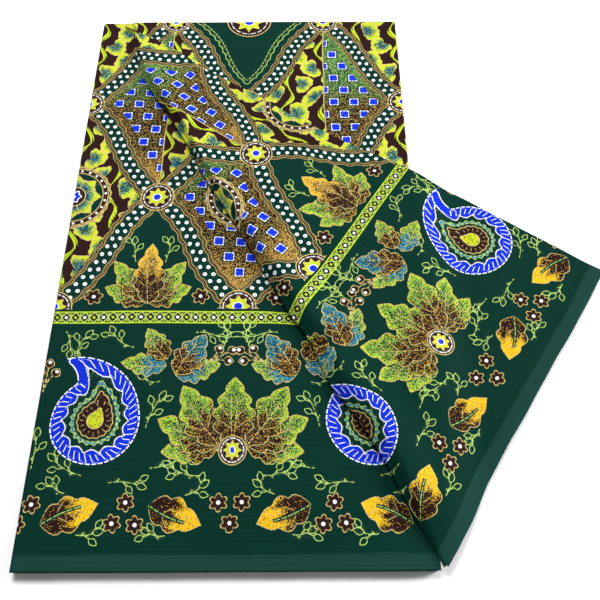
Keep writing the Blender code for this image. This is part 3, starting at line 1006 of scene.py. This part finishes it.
def corner_cloth(material):
    """The fanned corner: its upper face with two doubled edges, and a coarse face below."""
    rows = corner_rows(FINE, 1)
    parts = cloth_mesh(rows, corner_place)
    selvedge = np.arange(len(rows[0][1]))
    cut_end = parts[4][1:] - 1
    parts = add_rim(parts, selvedge, outwards(SELVEDGE_WAY))
    parts = add_rim(parts, cut_end, outwards(CUT_END_WAY))
    under = cloth_mesh(corner_rows(COARSE, 0), corner_place, flipped=True)
    lower = under[2] - np.array([0.0, 0.0, WALL * UNDERSIDE])
    u, v = np.concatenate([parts[0], under[0]]), np.concatenate([parts[1], under[1]])
    points = np.concatenate([parts[2], lower])
    points[:, 2] = np.maximum(points[:, 2], FLOOR_GAP)
    faces = np.concatenate([parts[3], under[3] + len(parts[2])])
    piece = cloth_object(
        "corner_cloth", u, v, points, faces, material, "cloth_corner", "fanned_corner"
    )


# The pleats under the top panel, on the stack's front, right, back and left
PLEATS = (30, 7, 15, 7)  # folds or edges that show
GROOVES = (0.0003, 0.0007, 0.0005, 0.0007)  # how deep the grooves between them are
PLEAT_LEVELS = 76
PLEAT_STEP = 0.0022
PLEAT_DRIFT = 0.0008  # how much further in one layer lies than another
CORNER_INSET = 0.0012  # how much further in the stack's four corners lie
LEFT_WRAP = (0.0011, 0.0020)  # room under the top panel's left fold: how far down, and how far in
LAYER_SHIFT = 0.037  # how far the print moves from one layer to the next
FOLD_TURN = 0.0004  # how much of the print shows round a fold at a side
STACK_LEAST = (0.0004, 0.0003)  # the least that the stack lies inside the panel, at a side and in front
CAP_SHARE = 0.97  # the stack's hidden top sinks inside this share of its outline,
CAP_SINK = 0.30  # to this share of its height, clear of the panel's trough


def stack_outline():
    """Points round the stack's plan: how far along its side each one lies, and on which side."""
    front = span(0.0, 1.0, PLEAT_STEP / PANEL)[:-1]
    side = span(0.0, 1.0, PLEAT_STEP / HALF_WIDTH)[:-1]
    counts = [len(front), len(side), len(front), len(side)]
    return np.concatenate([front, side, front, side]), np.repeat([0, 1, 2, 3], counts)


def pleat_inset(height, share, which, layer, bulge):
    """How far in from the panel's edge the pleats lie at a height."""
    phase = 1.9 * layer + 2.3 * which
    drift = PLEAT_DRIFT * (0.5 + 0.5 * np.sin(phase * 3.7) * np.cos(4 * share + phase))
    soften = CORNER_INSET * (1 - np.minimum(1, np.minimum(share, 1 - share) * 60)) ** 2
    wrap = (which == 3) * (height > STACK_Z - LEFT_WRAP[0]) * LEFT_WRAP[1]
    return STACK_INSET + np.array(GROOVES)[which] * (1 - bulge) + drift + soften + wrap


def pleat_ring(height, share, which):
    """The stack's outline at a height: points, with their places on the flat cloth."""
    corner = np.array([[0, 0], [1, 0], [1, 1], [0, 1]])[which]
    way = np.array([[1, 0], [0, 1], [-1, 0], [0, -1]])[which]
    inwards = np.stack([-way[:, 1], way[:, 0]], axis=-1)
    place = height / STACK_Z * np.array(PLEATS)[which] * 0.9999
    layer = np.floor(place)
    bulge = np.sqrt(np.clip(1 - (2 * (place - layer) - 1) ** 2, 0, 1))
    inset = pleat_inset(height, share, which, layer, bulge)
    ring = (corner + way * share[:, None]) * [PANEL, HALF_WIDTH] + inwards * inset[:, None]
    ring[:, 0] -= front_taper(ring[:, 0], ring[:, 1])
    ring[:, 0] = np.clip(ring[:, 0], STACK_LEAST[0], PANEL - STACK_LEAST[0])
    ring[:, 1] = np.clip(ring[:, 1], STACK_LEAST[1], HALF_WIDTH - STACK_LEAST[1])
    u = np.where(which % 2 == 1, FOLD_TURN * bulge, ring[:, 0]) + LAYER_SHIFT * layer
    v = np.where(which == 0, 0.0, np.where(which == 2, HALF_WIDTH, ring[:, 1]))
    return np.column_stack([ring, np.full(len(ring), height), u, v])


def stack_faces(around):
    """Triangles between the rings, and from the lowest and the highest one to their hubs."""
    here = np.arange(around)
    after = (here + 1) % around
    faces = []
    for first in range(0, PLEAT_LEVELS * around, around):
        a, b = first + here, first + after
        faces += [np.stack([a, b, b + around], -1), np.stack([a, b + around, a + around], -1)]
    top = PLEAT_LEVELS * around
    hub = np.full(around, top + around)
    faces += [np.stack([after, here, hub], -1), np.stack([top + here, top + after, hub + 1], -1)]
    return np.concatenate(faces)


def pleated_layers(material):
    """The stack under the top panel: folds at its sides and back, and selvedges at its front."""
    share, which = stack_outline()
    heights = np.linspace(0.0, STACK_Z, PLEAT_LEVELS)
    rings = [pleat_ring(height, share, which) for height in heights]
    middle = np.array([PANEL, HALF_WIDTH]) / 2
    lid = rings[-1].copy()
    lid[:, :2] = middle + CAP_SHARE * (lid[:, :2] - middle)
    lid[:, 2] = CAP_SINK * STACK_Z
    hubs = [[*middle, height, 0.0, 0.0] for height in (0.0, CAP_SINK * STACK_Z)]
    points = np.concatenate([*rings, lid, hubs])
    piece = cloth_object(
        "pleated_layers", points[:, 3], points[:, 4], points[:, :3], stack_faces(len(share)),
        material, "cloth_layers", "hidden_stack",
    )


# Materials


def dye(name):
    """Linear values of a print colour, so that it looks as given under the scene's light."""
    shares = [c / 255 for c in COLOURS[name]]
    values = [s / 12.92 if s <= 0.04045 else ((s + 0.055) / 1.055) ** 2.4 for s in shares]
    return tuple(value / LIGHT_LEVEL for value in values) + (1.0,)


class Graph:
    """Short names for the nodes of a material."""

    def __init__(self, name):
        self.material = bpy.data.materials.new(name)
        self.material.use_nodes = True
        self.tree = self.material.node_tree
        self.shader = self.tree.nodes["Principled BSDF"]

    def node(self, kind, settings=(), **inputs):
        """A new node, with its settings and what its inputs hold or are linked to."""
        made = self.tree.nodes.new(kind)
        for key, value in dict(settings).items():
            setattr(made, key, value)
        self.fill(made, **inputs)
        return made

    def fill(self, node, **inputs):
        """Sets or links a node's inputs by their names."""
        for key, value in inputs.items():
            self.put(node.inputs[key.replace("_", " ")], value)

    def put(self, socket, value):
        """Sets a socket to a value, or links it to another socket."""
        if isinstance(value, bpy.types.NodeSocket):
            self.tree.links.new(value, socket)
        else:
            socket.default_value = value

    def math(self, operation, *values, clamp=False):
        """The result of a sum on values or sockets."""
        made = self.node("ShaderNodeMath", {"operation": operation, "use_clamp": clamp})
        for socket, value in zip(made.inputs, values):
            self.put(socket, value)
        return made.outputs[0]

    def mix(self, share, below, above):
        """One colour over another."""
        made = self.node("ShaderNodeMix", {"data_type": "RGBA"})
        for index, value in ((0, share), (6, below), (7, above)):
            self.put(made.inputs[index], value)
        return made.outputs[2]

    def attribute(self, name):
        """The four values kept on the points under a name."""
        made = self.node("ShaderNodeAttribute", {"attribute_name": name})
        split = self.node("ShaderNodeSeparateColor", Color=made.outputs["Color"])
        return [*split.outputs, made.outputs["Alpha"]]

    def noise(self, place, scale, detail):
        """A noise over the flat cloth, with scale in waves to a millimetre."""
        settings = {"noise_dimensions": "2D"}
        made = self.node("ShaderNodeTexNoise", settings, Vector=place, Scale=scale, Detail=detail)
        return made.outputs["Fac"]

    def covers(self, distance):
        """1 inside a shape and 0 outside it, from its signed distance in millimetres."""
        return self.math("MULTIPLY_ADD", distance, -1 / INK_EDGE, 0.5, clamp=True)


INK_EDGE = 0.25  # millimetres over which an ink's edge fades
RAGGED = 0.36  # how uneven a line's edges are, in millimetres
DASH_SHARE = 0.74  # the dash, as a share of a dash and its gap
FILL_DYES = {  # from the lowest up
    "brown": "brown", "lime": "lime", "ochre": "yellow", "blue": "blue", "teal": "teal", "ring": "white",
}
NOISES = {  # waves to a millimetre, and how many finer ones lie over them
    "cloud": (0.018, 3.0),
    "edge": (0.55, 2.0),
    "thread": (0.7, 3.0),
    "slub": (0.12, 5.0),
}
THREAD_STRETCH = (0.012, 1.0, 1.0)  # the threads' streaks run along the selvedge
SHADES = {"least": 0.69, "cloud": 0.22, "thread": 0.40}  # how light the cloth is, and what varies it
WEAVE = {"Scale": 0.45, "Distortion": 0.6}  # threads to a millimetre
BUMP = {"Strength": 0.12, "Distance": 0.0002}
ROUGHNESS = (0.10, 0.62)  # how much the cloud adds, and the least
GLAZE = 0.03


def striped_ground(graph, v, threads):
    """The ground's colour, which turns into the selvedge's lighter stripe in streaks."""
    stripe = graph.math("MULTIPLY_ADD", v, -1 / STRIPE_FADE, STRIPE / STRIPE_FADE - 0.9)
    stripe = graph.math("MULTIPLY_ADD", threads, 3.0, stripe, clamp=True)
    return graph.mix(stripe, dye("ground"), dye("selvedge"))


def grained(graph, ground, place, tone):
    """Small cells of ink on the ground; chance picks each cell's ink by the shares at its place."""
    settings = {"voronoi_dimensions": "2D"}
    cells = graph.node("ShaderNodeTexVoronoi", settings, Vector=place, Scale=GRAIN_SCALE)
    chance = graph.node("ShaderNodeSeparateColor", Color=cells.outputs["Color"]).outputs[0]
    colour = ground
    for share, ink in reversed(list(zip(graph.attribute("grain_shares"), GRAINS))):
        hit = graph.math("LESS_THAN", chance, share)
        soft, bright = TONES.get(ink, (ink, ink))
        colour = graph.mix(hit, colour, graph.mix(tone, dye(soft), dye(bright)))
    return colour


def inked(graph, ground, speckled, run, rough_edge):
    """The print's colour: grains, then fills, then dashed lines, then white."""
    inks = dict(zip(FILLS, graph.attribute("ink_fills") + graph.attribute("ink_marks")))
    colour = graph.mix(graph.covers(inks["grain"]), ground, speckled)
    for ink, name in FILL_DYES.items():
        colour = graph.mix(graph.covers(inks[ink]), colour, dye(name))
    hole = graph.math("ADD", inks["ring"], RING_WIDTH)
    colour = graph.mix(graph.covers(hole), colour, dye("ground"))
    beat = graph.math("FRACT", graph.math("DIVIDE", run, DASH))
    dash = graph.math("LESS_THAN", beat, DASH_SHARE)
    for distance, ink in zip(graph.attribute("ink_lines"), LINES):
        off_line = graph.math("ADD", graph.math("ABSOLUTE", distance), -0.5)
        shown = graph.covers(graph.math("ADD", off_line, rough_edge))
        colour = graph.mix(graph.math("MULTIPLY", shown, dash), colour, dye(ink))
    white = graph.covers(graph.math("ADD", inks["white"], rough_edge))
    return graph.mix(white, colour, dye("white"))


def weave_bump(graph, place):
    """The weave's crossed threads and thicker yarns, as a slight bump."""
    crossed = [
        graph.node("ShaderNodeTexWave", {"bands_direction": way}, Vector=place, **WEAVE).outputs["Fac"]
        for way in ("X", "Y")
    ]
    slub = graph.noise(place, *NOISES["slub"])
    height = graph.math("MULTIPLY_ADD", slub, 2.0, graph.math("ADD", *crossed))
    return graph.node("ShaderNodeBump", Height=height, **BUMP).outputs[0]


def wax_print(name):
    """Plain woven cotton with a wax print: inks, grains, weave, slub and a slight glaze."""
    graph = Graph(name)
    u, v, run, tone = graph.attribute("cloth_place")
    place = graph.node("ShaderNodeCombineXYZ", X=u, Y=v).outputs[0]
    cloudy = graph.noise(place, *NOISES["cloud"])
    edge = graph.noise(place, *NOISES["edge"])
    rough_edge = graph.math("MULTIPLY_ADD", edge, RAGGED, -RAGGED / 2)
    stretched = graph.node("ShaderNodeVectorMath", {"operation": "MULTIPLY"})
    graph.put(stretched.inputs[0], place)
    graph.put(stretched.inputs[1], THREAD_STRETCH)
    threads = graph.noise(stretched.outputs[0], *NOISES["thread"])

    ground = striped_ground(graph, v, threads)
    colour = inked(graph, ground, grained(graph, ground, place, tone), run, rough_edge)
    shade = graph.math("MULTIPLY_ADD", cloudy, SHADES["cloud"], SHADES["least"])
    shade = graph.math("MULTIPLY_ADD", threads, SHADES["thread"], shade)
    colour = graph.node("ShaderNodeHueSaturation", Color=colour, Value=shade).outputs[0]
    graph.fill(
        graph.shader,
        Base_Color=colour,
        Normal=weave_bump(graph, place),
        Roughness=graph.math("MULTIPLY_ADD", cloudy, *ROUGHNESS),
        Specular_IOR_Level=GLAZE,
    )
    return graph.material


# Floor, light and camera


def floor():
    """The plain pale floor."""
    mesh = bpy.data.meshes.new("floor")
    half = FLOOR_SIZE / 2
    corners = [(-half, -half), (half, -half), (half, half), (-half, half)]
    mesh.from_pydata([(x, y, -FLOOR_DROP) for x, y in corners], [], [(0, 1, 2, 3)])
    graph = Graph("pale_floor")
    tone = (FLOOR_TONE, FLOOR_TONE, FLOOR_TONE, 1.0)
    graph.fill(graph.shader, Base_Color=tone, Roughness=0.9, Specular_IOR_Level=0.0)
    mesh.materials.append(graph.material)
    placed("floor", mesh)


def area_light(name, place, size, power):
    """A soft square light that looks at the middle of the scene."""
    light = bpy.data.lights.new(name, "AREA")
    light.size, light.energy = size, power
    made = placed(name, light)
    made.location = place
    made.rotation_euler = (-made.location).to_track_quat("-Z", "Y").to_euler()


def studio():
    """White light from all round, and the area lights."""
    world = bpy.data.worlds.new("studio")
    world.use_nodes = True
    sky = world.node_tree.nodes["Background"].inputs
    sky["Color"].default_value = (1.0, 1.0, 1.0, 1.0)
    sky["Strength"].default_value = WORLD_STRENGTH
    bpy.context.scene.world = world
    bpy.context.scene.view_settings.view_transform = "Standard"
    for name, (place, size, power) in LIGHTS.items():
        area_light(name, place, size, power)


def camera():
    """The camera, at the photo's angle."""
    data = bpy.data.cameras.new("camera")
    data.lens = CAMERA["lens"]
    made = placed("camera", data)
    made.location = PACK_CORNER + np.array(CAMERA["place"])
    made.rotation_euler = (math.radians(90 - CAMERA["pitch"]), 0.0, math.radians(CAMERA["yaw"]))
    bpy.context.scene.camera = made


def main():
    """Builds the scene."""
    camera()
    studio()
    floor()
    cloth = wax_print("wax_print_cotton")
    for make in (top_cloth, back_cloth, corner_cloth, pleated_layers):
        make(cloth)


main()
